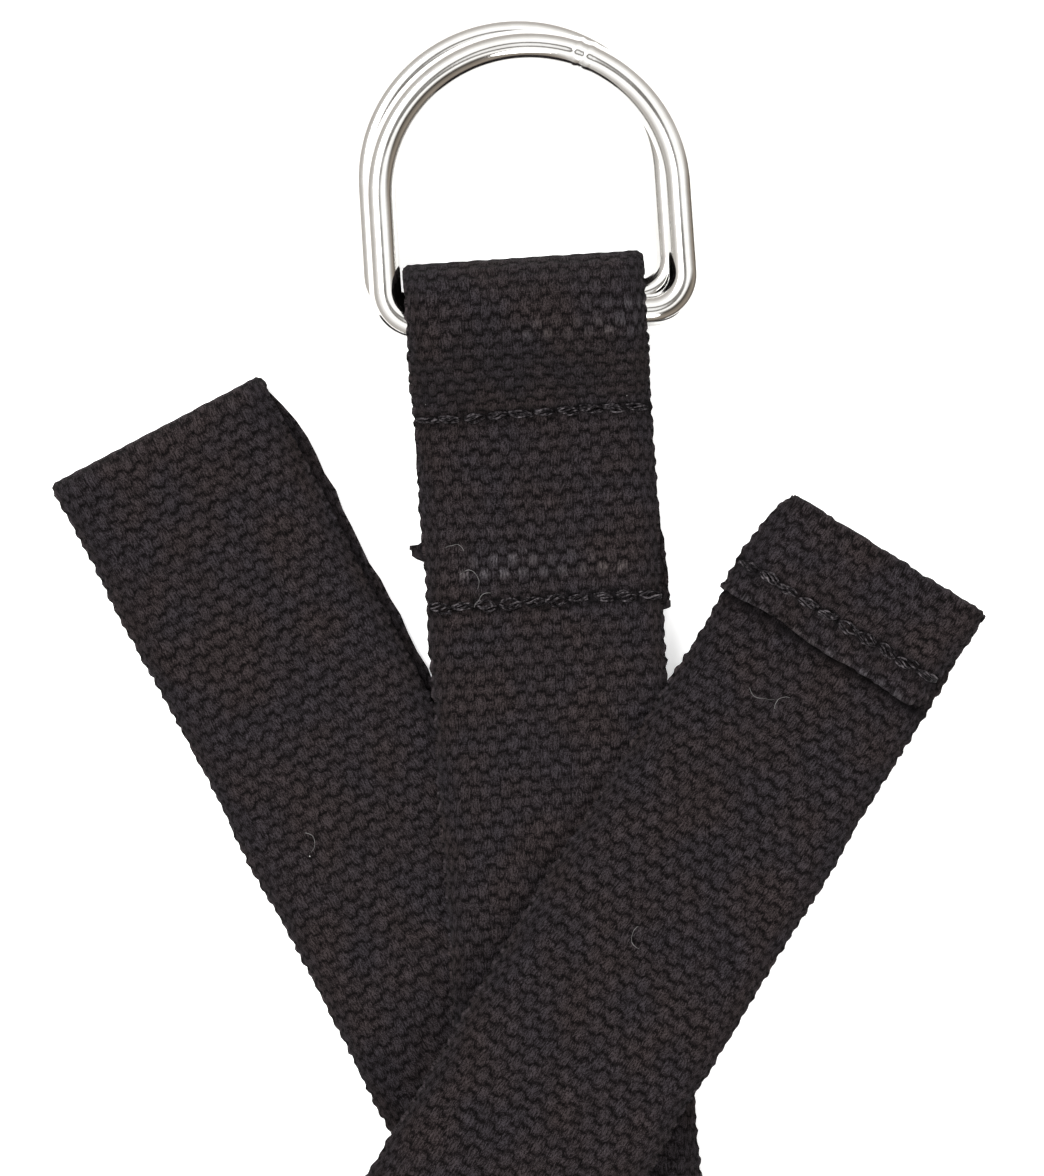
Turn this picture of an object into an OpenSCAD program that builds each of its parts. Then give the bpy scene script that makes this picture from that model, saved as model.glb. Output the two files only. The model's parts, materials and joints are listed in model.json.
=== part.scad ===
// Stretching strap: one length of flat woven webbing with a pair of D-rings sewn
// into a loop at one end and a stitched hem at the other. The strap lies folded
// on a flat surface, with its spare length laid in a flat bundle.
// The origin is on the underside of the lowest layer, straight below the middle of
// the fold where the centre run turns back into the left run. +Y runs towards the
// rings, +Z points up. All lengths are in millimetres and all angles in degrees.

/* [Webbing] */
// Width of the webbing
webbing_w = 38; // [34:0.5:38.5]
// Thickness of the webbing
webbing_t = 2.2; // [1.8:0.1:2.4]
// Finished length, from the front of the ring loop to the end of the hem
strap_length = 1830; // [1600:10:2200]
// Clear space between two layers that lie on each other
layer_gap = 0.2; // [0.1:0.05:0.3]

/* [Layout] */
// Lean of the centre run to the left of +Y
centre_lean = 3.7; // [2:0.1:6]
// Lean of the left run to the left of +Y
left_lean = 27.7; // [25:0.1:32]
// Lean of the tail run to the right of +Y
tail_lean = 31.9; // [28:0.1:34]
// Centre run, from its lower fold to the front of the ring loop
centre_length = 155.7; // [150:0.1:165]
// Left run, from the centre run's lower fold to the left fold
left_length = 144; // [135:0.5:155]
// Height above the lower fold at which the tail run crosses the centre run
tail_crossing = 30.9; // [27:0.1:34]
// Tail run beyond that crossing
tail_reach = 91; // [90:0.5:100]
// Length over which the tail run comes down from the bundle to the centre run
tail_descent = 54; // [45:1:60]

/* [Bundle] */
// Distance from the lower fold down to the centre line of the bundle
bundle_drop = 28.7; // [26:0.1:36]
// Layers in the bundle, an odd number
bundle_layers = 7; // [5:2:9]
// Middle of the bundle, to the right of the origin
bundle_middle = -10.5; // [-20:0.5:0]

/* [Ring loop] */
// Radius of the space inside the loop
loop_r = 6.8; // [6.8:0.1:7.2]
// Distance from the front of the loop to where its two layers meet
loop_depth = 23.1; // [22:0.1:28]
// Length of the flap sewn under the centre run, behind the loop
flap_length = 34.2; // [30:0.1:40]
// Length of webbing turned under at the end of the flap
turn_length = 13.6; // [10:0.1:18]

/* [Hem] */
// Length of the hem folded over at the end of the tail
hem_length = 16.5; // [14:0.1:20]
// Sloping length at the end of the tail, down to the surface
tail_slope_length = 31; // [29:0.5:33]

/* [Stitching] */
// Radius of the thread
thread_r = 0.5; // [0.3:0.05:0.6]
// Length of one stitch
stitch_length = 2.6; // [2:0.1:3]
// Distance from one stitch to the next
stitch_pitch = 3.4; // [3.1:0.1:3.4]
// Stitches in one row
stitch_count = 11; // [7:2:11]
// Distance of the loop's row behind the place where the layers meet
loop_row_inset = 1.5; // [1:0.1:4]
// Distance of the flap's row from the end of the flap
flap_row_inset = 2.8; // [2.8:0.1:6]
// Distance of the hem's row from the end of the hem
hem_row_inset = 12; // [8:0.1:13]

/* [Rings] */
// Radius of the ring wire
wire_r = 2.5; // [2:0.1:2.5]
// Half width of a ring, to the middle of its wire
ring_half_w = 23.5; // [23.4:0.05:25]
// Height of a ring, from the middle of its bar to the middle of its bow
ring_h = 43.4; // [40:0.1:46]
// Radius of the two corners beside the bar, to the middle of the wire
ring_corner_r = 5.6; // [5:0.1:6]
// Distance of the lower bar in front of the upper bar
bar_stagger = 3; // [2:0.1:3]
// Height of the upper bar above the lower bar
bar_rise = 5.6; // [5.5:0.1:5.8]
// Space between the lower bar and the webbing under it
bar_clearance = 1.1; // [1:0.1:1.2]
// Distance of the lower bar in front of the middle of the loop
lower_bar_lead = 1.9; // [0.8:0.1:2]
// Sideways play taken up by the upper ring
upper_ring_shift = 1.7; // [0:0.1:1.7]
// Sideways play taken up by the lower ring
lower_ring_shift = 0.1; // [0:0.1:0.8]

/* [Hidden] */
$fn = 48;

webbing_colour = "#2b2729";
thread_colour = "#1b191b";
ring_colour = "#d5d6d8";

half_w = webbing_w / 2;
// Height from one layer to the next, and outer radius of a flat fold
layer_pitch = webbing_t + layer_gap;
fold_r = webbing_t + layer_gap / 2;
// The sewn end stands on the thread of its stitches
flap_end_z = thread_r;
flap_z = flap_end_z + layer_pitch;
centre_z = flap_z + layer_pitch;
tail_z = centre_z + layer_pitch;
tail_top_z = (bundle_layers + 1) * layer_pitch;

// Angle of the line that leaves a point and touches the inside of the loop, on one
// side of the loop's centre; reach runs from the point to that centre
function tangent_angle(reach, side) = atan2(reach[1], reach[0]) + side * asin(loop_r / norm(reach));

// Ring loop, in the centre run's own frame: [along the run, height]
loop_start = centre_length - loop_depth;
loop_outer_r = loop_r + webbing_t;
loop_centre = [centre_length - loop_outer_r, flap_end_z + loop_outer_r];
loop_top_start = [loop_start, centre_z];
loop_bottom_start = [loop_start, flap_z + webbing_t];
loop_top_reach = loop_centre - loop_top_start;
loop_bottom_reach = loop_centre - loop_bottom_start;
loop_top_angle = tangent_angle(loop_top_reach, 1);
loop_bottom_angle = tangent_angle(loop_bottom_reach, -1);
loop_arc_steps = 40;

flap_end_y = loop_start - flap_length;
flap_fold_y = flap_end_y + fold_r;

lower_bar = [loop_centre[0] + lower_bar_lead, flap_end_z + webbing_t + bar_clearance + wire_r];
upper_bar = lower_bar + [-bar_stagger, bar_rise];
ring_tilt = asin((lower_bar[1] - wire_r) / ring_h);
ring_side = ring_h - ring_half_w - ring_corner_r;
ring_bar = 2 * (ring_half_w - ring_corner_r);

// Angle of each slanted fold line from +X, and its slant across each run
centre_fold_angle = (centre_lean + left_lean) / 2;
entry_fold_angle = (90 + left_lean) / 2;
exit_fold_angle = (270 - tail_lean) / 2;

// The left run goes on past the origin, and the tail run goes on past the
// crossing, until each meets the centre line of the bundle
entry_length = bundle_drop / cos(left_lean);
entry_x = bundle_drop * tan(left_lean);
crossing = tail_crossing * [-sin(centre_lean), cos(centre_lean)];
exit_length = (crossing[1] + bundle_drop) / cos(tail_lean);
exit_x = crossing[0] - exit_length * sin(tail_lean);
tail_length = exit_length + tail_reach;

// The bundle takes all the length that the runs leave
runs_length = centre_length + 2 * left_length + entry_length + tail_length;
bundle_run = (strap_length - runs_length - (entry_x - exit_x)) / (bundle_layers - 1);
bundle_left = bundle_middle - bundle_run / 2;
bundle_right = bundle_middle + bundle_run / 2;

// Tail run, side view: it leaves the top of the bundle, drops to the centre run,
// stays level until it is clear of it and then slopes down to the surface
bundle_clear = (half_w + half_w * sin(tail_lean)) / cos(tail_lean);
tail_bend = tail_length - tail_slope_length;
tail_settle = bundle_clear + tail_descent;
tail_fold_y = tail_slope_length - fold_r;
tail_slope = asin((tail_z - fold_r) / norm([tail_fold_y, fold_r])) + atan2(fold_r, tail_fold_y);

// One flat length of webbing along +Y, each end cut on a slant that rises to the right
module flat_run(start, end, z, start_slant = 0, end_slant = 0) {
    start_rise = half_w * tan(start_slant);
    end_rise = half_w * tan(end_slant);
    translate([0, 0, z])
        linear_extrude(webbing_t)
            polygon([
                [-half_w, start - start_rise],
                [half_w, start + start_rise],
                [half_w, end + end_rise],
                [-half_w, end - end_rise]
            ]);
}

// A half round fold along X that bulges towards -Y and joins two layers
module fold_over(slant, low_z, high_z) {
    inner_r = (high_z - low_z - webbing_t) / 2;
    length = webbing_w / cos(slant);
    translate([0, 0, (low_z + high_z + webbing_t) / 2])
        rotate([0, 90, 180])
            rotate_extrude(angle = 180)
                translate([inner_r, -length / 2])
                    square([webbing_t, length]);
}

// Half round stitches in a row along X, standing on the plane z = 0
module stitch_line() {
    for (i = [0 : stitch_count - 1])
        translate([(i - (stitch_count - 1) / 2) * stitch_pitch, 0, 0])
            rotate([90, 0, 90])
                linear_extrude(stitch_length, center = true)
                    intersection() {
                        circle(r = thread_r);
                        translate([-thread_r, 0])
                            square([2 * thread_r, thread_r]);
                    }
}

// Stitches on the top and on the underside of the layers between two heights
module stitch_row(low_z, high_z) {
    translate([0, 0, high_z])
        stitch_line();
    translate([0, 0, low_z])
        mirror([0, 0, 1])
            stitch_line();
}

module in_centre_frame() {
    rotate([0, 0, centre_lean])
        children();
}

module in_left_frame() {
    rotate([0, 0, left_lean])
        children();
}

module in_tail_frame() {
    translate([exit_x, -bundle_drop, 0])
        rotate([0, 0, -tail_lean])
            children();
}

module in_tail_slope_frame() {
    in_tail_frame()
        translate([0, tail_bend, tail_z])
            rotate([-tail_slope, 0, 0])
                children();
}

// Points along an arc of the ring loop, in side view, in even steps
function loop_arc(radius, from, to) = [
    for (i = [0 : loop_arc_steps])
        let (angle = from + (to - from) * i / loop_arc_steps)
            loop_centre + radius * [cos(angle), sin(angle)]
];

// The two straight sides meet the round part at its tangents
module webbing_ring_loop() {
    color(webbing_colour)
        in_centre_frame()
            rotate([90, 0, 90])
                linear_extrude(webbing_w, center = true)
                    polygon(concat(
                        [loop_top_start, loop_top_start + [0, webbing_t / cos(loop_top_angle)]],
                        loop_arc(loop_outer_r, loop_top_angle + 90, loop_bottom_angle - 90),
                        [loop_bottom_start - [0, webbing_t / cos(loop_bottom_angle)], loop_bottom_start],
                        loop_arc(loop_r, loop_bottom_angle - 90, loop_top_angle + 90)
                    ));
}

module webbing_flap() {
    color(webbing_colour)
        in_centre_frame()
            flat_run(flap_fold_y, loop_start, flap_z);
}

module webbing_flap_fold() {
    color(webbing_colour)
        in_centre_frame()
            translate([0, flap_fold_y, 0])
                fold_over(0, flap_end_z, flap_z);
}

module webbing_flap_end() {
    color(webbing_colour)
        in_centre_frame()
            flat_run(flap_fold_y, flap_end_y + turn_length, flap_end_z);
}

module webbing_centre_run() {
    color(webbing_colour)
        in_centre_frame()
            flat_run(0, loop_start, centre_z, start_slant = centre_fold_angle - centre_lean);
}

module webbing_centre_fold() {
    color(webbing_colour)
        rotate([0, 0, centre_fold_angle])
            fold_over(centre_fold_angle - centre_lean, layer_pitch, centre_z);
}

module webbing_left_upper_run() {
    color(webbing_colour)
        in_left_frame()
            flat_run(0, left_length - fold_r, layer_pitch, start_slant = centre_fold_angle - left_lean);
}

module webbing_left_fold() {
    color(webbing_colour)
        in_left_frame()
            translate([0, left_length - fold_r, 0])
                rotate([0, 0, 180])
                    fold_over(0, 0, layer_pitch);
}

module webbing_left_lower_run() {
    color(webbing_colour)
        in_left_frame()
            flat_run(-entry_length, left_length - fold_r, 0, start_slant = entry_fold_angle - left_lean);
}

module webbing_bundle_entry() {
    color(webbing_colour)
        translate([entry_x, -bundle_drop, 0])
            rotate([0, 0, entry_fold_angle])
                fold_over(entry_fold_angle - left_lean, 0, layer_pitch);
}

// Layers from the bottom up, with a fold at alternate ends; the first starts at the
// entry fold line and the last ends at the exit fold line
module webbing_bundle() {
    entry_rise = half_w / tan(entry_fold_angle);
    exit_rise = half_w / tan(exit_fold_angle);
    color(webbing_colour)
        translate([0, -bundle_drop, 0]) {
            for (k = [1 : bundle_layers]) {
                right_x = k == 1 ? [entry_x, entry_x] + entry_rise * [-1, 1] : bundle_right * [1, 1];
                left_x = k == bundle_layers ? [exit_x, exit_x] + exit_rise * [-1, 1] : bundle_left * [1, 1];
                translate([0, 0, k * layer_pitch])
                    linear_extrude(webbing_t)
                        polygon([
                            [left_x[0], -half_w],
                            [right_x[0], -half_w],
                            [right_x[1], half_w],
                            [left_x[1], half_w]
                        ]);
            }
            for (k = [1 : bundle_layers - 1])
                translate([k % 2 == 1 ? bundle_left : bundle_right, 0, 0])
                    rotate([0, 0, k % 2 == 1 ? -90 : 90])
                        fold_over(0, k * layer_pitch, (k + 1) * layer_pitch);
        }
}

module webbing_bundle_exit() {
    color(webbing_colour)
        translate([exit_x, -bundle_drop, 0])
            rotate([0, 0, exit_fold_angle - 180])
                fold_over(exit_fold_angle + tail_lean - 180, bundle_layers * layer_pitch, tail_top_z);
}

module webbing_tail_run() {
    start_rise = half_w * tan(exit_fold_angle + tail_lean);
    color(webbing_colour)
        in_tail_frame()
            intersection() {
                rotate([90, 0, 90])
                    linear_extrude(webbing_w, center = true)
                        polygon([
                            [-half_w, tail_top_z],
                            [bundle_clear, tail_top_z],
                            [tail_settle, tail_z],
                            [tail_bend, tail_z],
                            [tail_bend, tail_z + webbing_t],
                            [tail_settle, tail_z + webbing_t],
                            [bundle_clear, tail_top_z + webbing_t],
                            [-half_w, tail_top_z + webbing_t]
                        ]);
                linear_extrude(tail_top_z + 2 * webbing_t)
                    polygon([
                        [-half_w, -start_rise],
                        [half_w, start_rise],
                        [half_w, tail_bend],
                        [-half_w, tail_bend]
                    ]);
            }
}

module webbing_tail_end() {
    color(webbing_colour)
        in_tail_slope_frame()
            flat_run(0, tail_fold_y, 0);
}

module webbing_hem_fold() {
    color(webbing_colour)
        in_tail_slope_frame()
            translate([0, tail_fold_y, 0])
                rotate([0, 0, 180])
                    fold_over(0, 0, layer_pitch);
}

module webbing_hem_flap() {
    color(webbing_colour)
        in_tail_slope_frame()
            flat_run(tail_slope_length - hem_length, tail_fold_y, layer_pitch);
}

module loop_stitch_row() {
    color(thread_colour)
        in_centre_frame()
            translate([0, loop_start - loop_row_inset, 0])
                stitch_row(flap_z, centre_z + webbing_t);
}

module flap_stitch_row() {
    color(thread_colour)
        in_centre_frame()
            translate([0, flap_end_y + flap_row_inset, 0])
                stitch_row(flap_end_z, centre_z + webbing_t);
}

module hem_stitch_row() {
    color(thread_colour)
        in_tail_slope_frame()
            translate([0, tail_slope_length - hem_row_inset, 0])
                stitch_row(0, layer_pitch + webbing_t);
}

// A D-ring bent from round wire: its bar lies along X through the origin and its
// bow reaches towards +Y
module d_ring() {
    rotate([0, 90, 0])
        cylinder(r = wire_r, h = ring_bar, center = true);
    for (side = [-1, 1]) {
        translate([side * ring_bar / 2, ring_corner_r, 0])
            rotate([0, 0, side > 0 ? 270 : 180])
                rotate_extrude(angle = 90)
                    translate([ring_corner_r, 0])
                        circle(r = wire_r);
        translate([side * ring_half_w, ring_corner_r, 0])
            rotate([-90, 0, 0])
                cylinder(r = wire_r, h = ring_side);
    }
    translate([0, ring_corner_r + ring_side, 0])
        rotate_extrude(angle = 180)
            translate([ring_half_w, 0])
                circle(r = wire_r);
}

module upper_ring() {
    color(ring_colour)
        in_centre_frame()
            translate([upper_ring_shift, upper_bar[0], upper_bar[1]])
                rotate([-ring_tilt, 0, 0])
                    d_ring();
}

module lower_ring() {
    color(ring_colour)
        in_centre_frame()
            translate([lower_ring_shift, lower_bar[0], lower_bar[1]])
                rotate([-ring_tilt, 0, 0])
                    d_ring();
}

webbing_ring_loop();
webbing_flap();
webbing_flap_fold();
webbing_flap_end();
webbing_centre_run();
webbing_centre_fold();
webbing_left_upper_run();
webbing_left_fold();
webbing_left_lower_run();
webbing_bundle_entry();
webbing_bundle();
webbing_bundle_exit();
webbing_tail_run();
webbing_tail_end();
webbing_hem_fold();
webbing_hem_flap();
loop_stitch_row();
flap_stitch_row();
hem_stitch_row();
upper_ring();
lower_ring();
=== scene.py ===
import json
import math

import bpy
import numpy as np
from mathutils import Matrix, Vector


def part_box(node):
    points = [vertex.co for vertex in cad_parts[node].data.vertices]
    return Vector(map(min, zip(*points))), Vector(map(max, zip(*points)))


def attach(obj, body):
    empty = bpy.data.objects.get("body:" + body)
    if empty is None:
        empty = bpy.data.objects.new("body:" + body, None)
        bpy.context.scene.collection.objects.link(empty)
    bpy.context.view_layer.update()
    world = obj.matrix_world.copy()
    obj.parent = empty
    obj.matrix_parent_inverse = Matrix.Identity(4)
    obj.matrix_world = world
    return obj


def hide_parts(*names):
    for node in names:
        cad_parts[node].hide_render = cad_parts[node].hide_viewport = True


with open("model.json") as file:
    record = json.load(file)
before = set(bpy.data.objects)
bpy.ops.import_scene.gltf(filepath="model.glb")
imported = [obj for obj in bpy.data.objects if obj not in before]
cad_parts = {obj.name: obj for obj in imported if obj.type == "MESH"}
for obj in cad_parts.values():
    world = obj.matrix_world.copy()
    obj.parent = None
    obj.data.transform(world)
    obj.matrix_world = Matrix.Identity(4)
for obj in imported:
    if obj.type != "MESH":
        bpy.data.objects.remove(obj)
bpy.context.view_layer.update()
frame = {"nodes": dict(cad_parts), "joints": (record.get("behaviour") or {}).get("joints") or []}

# ------------
# Sizes, in metres. The strap's own sizes come from the frame; the lengths and
# leans of the runs are the CAD model's driving dimensions.

MM = 0.001
SEED = 20


def node_low(name):
    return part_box(name)[0]


def node_high(name):
    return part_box(name)[1]


WEB_W = node_high("webbing_bundle").y - node_low("webbing_bundle").y
WEB_T = node_high("webbing_centre_run").z - node_low("webbing_centre_run").z
HALF_W = WEB_W / 2
HALF_T = WEB_T / 2
LAYER = node_low("webbing_left_upper_run").z - node_low("webbing_left_lower_run").z
CENTRE_Z = node_low("webbing_centre_run").z
FLAP_Z = node_low("webbing_flap").z
FLAP_END_Z = node_low("webbing_flap_end").z
TAIL_Z = CENTRE_Z + LAYER
# Layers in the bundle, as in the CAD model
BUNDLE_LAYERS = 7
TAIL_TOP_Z = (BUNDLE_LAYERS + 1) * LAYER

joints = {j["name"]: j for j in frame["joints"]}
bar_axis = joints["upper_ring_swing"]["axis"]
CENTRE_LEAN = math.atan2(bar_axis[1], bar_axis[0])
LEFT_LEAN = math.radians(27.7)
TAIL_LEAN = math.radians(31.9)

# Runs, from the crossing of the centre and left runs to their far ends; where the tail
# run crosses the centre run, and how far it reaches past that; and how far down the
# bundle lies
CENTRE_LENGTH = 155.7 * MM
LEFT_LENGTH = 144 * MM
TAIL_CROSSING = 30.9 * MM
TAIL_REACH = 91 * MM
BUNDLE_DROP = 28.7 * MM

# The loop that holds the bars, and the flap and turned-under end sewn below it
LOOP_R = 6.8 * MM
LOOP_DEPTH = 23.1 * MM
LOOP_START = CENTRE_LENGTH - LOOP_DEPTH
LOOP_MID_R = LOOP_R + HALF_T
LOOP_CENTRE_U = CENTRE_LENGTH - LOOP_R - WEB_T
LOOP_CENTRE_Z = FLAP_END_Z + WEB_T + LOOP_R
FLAP_LENGTH = 34.2 * MM
TURN_LENGTH = 13.6 * MM
FLAP_END_U = LOOP_START - FLAP_LENGTH

HEM_LENGTH = 16.8 * MM
# How far the hem's flap and the lower left run are shifted sideways, laid askew
HEM_SHIFT = 1.0 * MM
LEFT_SHIFT = 1.7 * MM

# Stitches to a row, and where the rows run
STITCH_PITCH = 3.7 * MM
STITCH_COUNT = 10
LOOP_ROW_U = LOOP_START - 1.5 * MM
FLAP_ROW_U = FLAP_END_U + 2.8 * MM
HEM_ROW_INSET = 13.7 * MM

# Unit vectors in plan: along the centre run towards the rings and across it to the
# right, along the left run towards its fold, and along the tail run towards its hem
CENTRE_DIR = np.array([-math.sin(CENTRE_LEAN), math.cos(CENTRE_LEAN)])
CENTRE_RIGHT = np.array([math.cos(CENTRE_LEAN), math.sin(CENTRE_LEAN)])
LEFT_DIR = np.array([-math.sin(LEFT_LEAN), math.cos(LEFT_LEAN)])
TAIL_DIR = np.array([math.sin(TAIL_LEAN), math.cos(TAIL_LEAN)])
TAIL_RIGHT = np.array([math.cos(TAIL_LEAN), -math.sin(TAIL_LEAN)])

# The weave: rows of bumps across the strap, each row shifted by half a bump
BUMP_COUNT = 12
BUMP_W = WEB_W / BUMP_COUNT
ROW_PITCH = 2.26 * MM
# How far a row steps up and down between bumps, how sharply, and how deep its gaps are
ROW_SAG = 0.42 * MM
SQUARENESS = 3.2
RELIEF = 0.36 * MM
# Over this width beside the selvages, the bumps are squeezed by this much
SELVAGE_W = 2.8 * MM
SELVAGE_SQUEEZE = 1.1
# One unit of the webbing's UV map
MAP_UNIT = 10 * MM


# ------------
# Small helpers


def smooth_step(low, high, value):
    """0 at low, 1 at high, and smooth between them."""
    t = np.clip((value - low) / (high - low), 0, 1)
    return t * t * (3 - 2 * t)


def bump_at(value, centre, width):
    """A soft hump of height 1 round centre."""
    return np.exp(-(((value - centre) / width) ** 2))


def lattice(*cells):
    """A repeatable number from 0 to 1 for each whole-number cell."""
    mixed = np.full(np.broadcast(*cells).shape, float(SEED))
    for weight, cell in zip((12.9898, 78.233, 37.719), cells):
        mixed = mixed + weight * cell
    wave = np.sin(mixed) * 43758.5453
    return wave - np.floor(wave)


def soft_noise(a, b):
    """Smooth noise from -1 to 1 over two coordinates, one cell to a unit."""
    ia, ib = np.floor(a), np.floor(b)
    fa, fb = smooth_step(0, 1, a - ia), smooth_step(0, 1, b - ib)
    low = lattice(ia, ib) * (1 - fa) + lattice(ia + 1, ib) * fa
    high = lattice(ia, ib + 1) * (1 - fa) + lattice(ia + 1, ib + 1) * fa
    return 2 * (low * (1 - fb) + high * fb) - 1


def new_object(name, points, faces, smooth=True):
    mesh = bpy.data.meshes.new(name)
    mesh.from_pydata([tuple(p) for p in points], [], faces)
    mesh.update()
    mesh.polygons.foreach_set("use_smooth", [smooth] * len(mesh.polygons))
    obj = bpy.data.objects.new(name, mesh)
    bpy.context.scene.collection.objects.link(obj)
    return obj


def add_map(obj, name, flat):
    """Give a mesh a UV map, from one pair of coordinates for each point."""
    lay = obj.data.uv_layers.new(name=name)
    loops = np.zeros(len(obj.data.loops), int)
    obj.data.loops.foreach_get("vertex_index", loops)
    lay.data.foreach_set("uv", flat[loops].ravel())


def add_node(tree, kind, inputs=(), **settings):
    """Add a node to a tree. Each input is a value, or a socket to join it to."""
    node = tree.nodes.new(kind)
    for key, value in settings.items():
        setattr(node, key, value)
    for socket, value in dict(inputs).items():
        if isinstance(value, bpy.types.NodeSocket):
            tree.links.new(value, node.inputs[socket])
        else:
            node.inputs[socket].default_value = value
    return node


def add_ramp(tree, value, stops):
    """Add a colour ramp with stops of (place, colour)."""
    node = add_node(tree, "ShaderNodeValToRGB", {0: value})
    elements = node.color_ramp.elements
    while len(elements) < len(stops):
        elements.new(0.5)
    for element, (at, colour) in zip(elements, stops):
        element.position = at
        element.color = (*colour, 1)
    return node.outputs["Color"]


# ------------
# Where the strap lies. The middle of the strap in plan is a chain of straight
# runs between turning points; at each one the webbing folds over flat.

crossing = TAIL_CROSSING * CENTRE_DIR
entry_point = -LEFT_DIR * BUNDLE_DROP / LEFT_DIR[1]
exit_point = crossing - TAIL_DIR * (crossing[1] + BUNDLE_DROP) / TAIL_DIR[1]
exit_length = float(np.dot(crossing - exit_point, TAIL_DIR))
TAIL_LENGTH = exit_length + TAIL_REACH
tail_end = exit_point + TAIL_DIR * TAIL_LENGTH
bundle_left = node_low("webbing_bundle").x + WEB_T
bundle_right = node_high("webbing_bundle").x - WEB_T

# Small sideways steps and uneven lengths keep the bundle's layers from lying
# exactly on each other
END_STEPS = [0.8, -0.6, 1.0, -0.9, 0.5, -1.1]
SIDE_STEPS = [0.5, -0.7, 0.9, -0.4, -0.8, 0.6]

turns = [np.zeros(2), LEFT_DIR * (LEFT_LENGTH - LAYER / 2), entry_point]
for k in range(BUNDLE_LAYERS - 1):
    end_x = bundle_left if k % 2 == 0 else bundle_right
    turns.append(np.array([end_x + END_STEPS[k] * MM, -BUNDLE_DROP + SIDE_STEPS[k] * MM]))
turns.append(exit_point)
# The hem's fold bulges past the point that it turns at
turns.append(tail_end - TAIL_DIR * LAYER / 5)

ways = []
for here, there in zip(turns[:-1], turns[1:]):
    ways.append((there - here) / np.linalg.norm(there - here))
ways = [-CENTRE_DIR] + ways + [-TAIL_DIR]

# Each fold: the point that it passes through, the way that it bulges, and its radius.
# The left run's fold and the hem's stand a little open.
LEFT_FOLD_RISE, HEM_FOLD_RISE = 1.35 * LAYER, 1.15 * LAYER
FOLD_RISE = [CENTRE_Z - LAYER, LEFT_FOLD_RISE] + [LAYER] * (BUNDLE_LAYERS + 1) + [HEM_FOLD_RISE]
folds = []
for turn, way_in, way_out, rise in zip(turns, ways[:-1], ways[1:], FOLD_RISE):
    outward = (way_in - way_out) / np.linalg.norm(way_in - way_out)
    folds.append((turn, outward, rise / 2))

# ------------
# Heights. The tail run is draped over what lies under it: it is pulled taut over
# the bundle and the centre run, and its end comes down to the surface.

DRAPE_STEP = 1.5 * MM
DRAPE_COLUMNS = 15
DRAPE_ROUNDS, DRAPE_SOFTENING = 1500, 6
# What each neighbour weighs, along the run and across it
ALONG_SHARE, ACROSS_SHARE = 0.42, 0.08


def inside_strip(point, start, direction, low, high):
    """Where points in plan lie on a straight run of webbing."""
    along = (point - start) @ direction
    across = (point - start) @ np.array([direction[1], -direction[0]])
    return (np.abs(across) < HALF_W) & (along > low) & (along < high)


def relaxed(height):
    """Heights on a grid, each one the mean of its neighbours'."""
    padded = np.pad(height, 1, mode="edge")
    along = (padded[:-2, 1:-1] + padded[2:, 1:-1]) * ALONG_SHARE
    return along + (padded[1:-1, :-2] + padded[1:-1, 2:]) * ACROSS_SHARE


def drape_tail():
    """Heights of the underside of the tail run on a grid along and across it."""
    along = np.arange(-2 * HALF_W, TAIL_LENGTH + DRAPE_STEP, DRAPE_STEP)
    across = np.linspace(-HALF_W, HALF_W, DRAPE_COLUMNS)
    s, x = np.meshgrid(along, across, indexing="ij")
    plan = exit_point + s[..., None] * TAIL_DIR + x[..., None] * TAIL_RIGHT
    support = np.zeros_like(s)
    on_left = inside_strip(plan, np.zeros(2), LEFT_DIR, -entry_point[1], LEFT_LENGTH)
    support[on_left] = 2 * LAYER
    on_centre = inside_strip(plan, np.zeros(2), CENTRE_DIR, -HALF_W / 4, CENTRE_LENGTH)
    support[on_centre] = TAIL_Z
    on_bundle = plan[..., 1] < -BUNDLE_DROP + HALF_W + WEB_T / 2
    support[on_bundle] = TAIL_TOP_Z
    height = support.copy()
    for _ in range(DRAPE_ROUNDS):
        height = np.maximum(support, relaxed(height))
        height[-1] = 0
    # Round the edges that it lies over, sinking in by a trace
    for _ in range(DRAPE_SOFTENING):
        height = np.maximum(relaxed(height), support * 0.985)
    return along, across, height


drape_along, drape_across, drape_height = drape_tail()


def tail_height(plan):
    """Height of the underside of the tail run at points in plan."""
    s = (plan - exit_point) @ TAIL_DIR
    x = (plan - exit_point) @ TAIL_RIGHT
    i = np.clip((s - drape_along[0]) / DRAPE_STEP, 0, len(drape_along) - 1.001)
    j = (x - drape_across[0]) / (drape_across[1] - drape_across[0])
    j = np.clip(j, 0, len(drape_across) - 1.001)
    i0, j0 = i.astype(int), j.astype(int)
    fi, fj = i - i0, j - j0
    low = drape_height[i0, j0] * (1 - fi) + drape_height[i0 + 1, j0] * fi
    high = drape_height[i0, j0 + 1] * (1 - fi) + drape_height[i0 + 1, j0 + 1] * fi
    return low * (1 - fj) + high * fj


def left_lift(plan):
    """How far the upper layer of the left run stands off the lower one."""
    along = plan @ LEFT_DIR
    near_fold = bump_at(along, LEFT_LENGTH, 16 * MM)
    loose = smooth_step(CENTRE_LENGTH * 0.35, LEFT_LENGTH * 0.8, along)
    return 0.35 * LAYER * near_fold + 0.12 * LAYER * loose


def run_height(run, plan):
    """Height of the middle of the webbing in a run, at points in plan. The runs are the
    centre run, the left run's two layers, the bundle's layers, the tail and its hem."""
    flat = np.zeros(len(plan))
    if run == 0:
        return flat + CENTRE_Z + HALF_T
    if run == 1:
        return LAYER + HALF_T + left_lift(plan)
    if run == 2:
        return flat + HALF_T
    if run <= BUNDLE_LAYERS + 2:
        return flat + (run - 2) * LAYER + HALF_T
    if run == BUNDLE_LAYERS + 3:
        return tail_height(plan) + HALF_T
    return tail_height(plan) + HALF_T + LAYER


# ------------
# The sewn end, in side view: up from the turned-under end, round the bars and
# back along the top to the centre run


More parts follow.
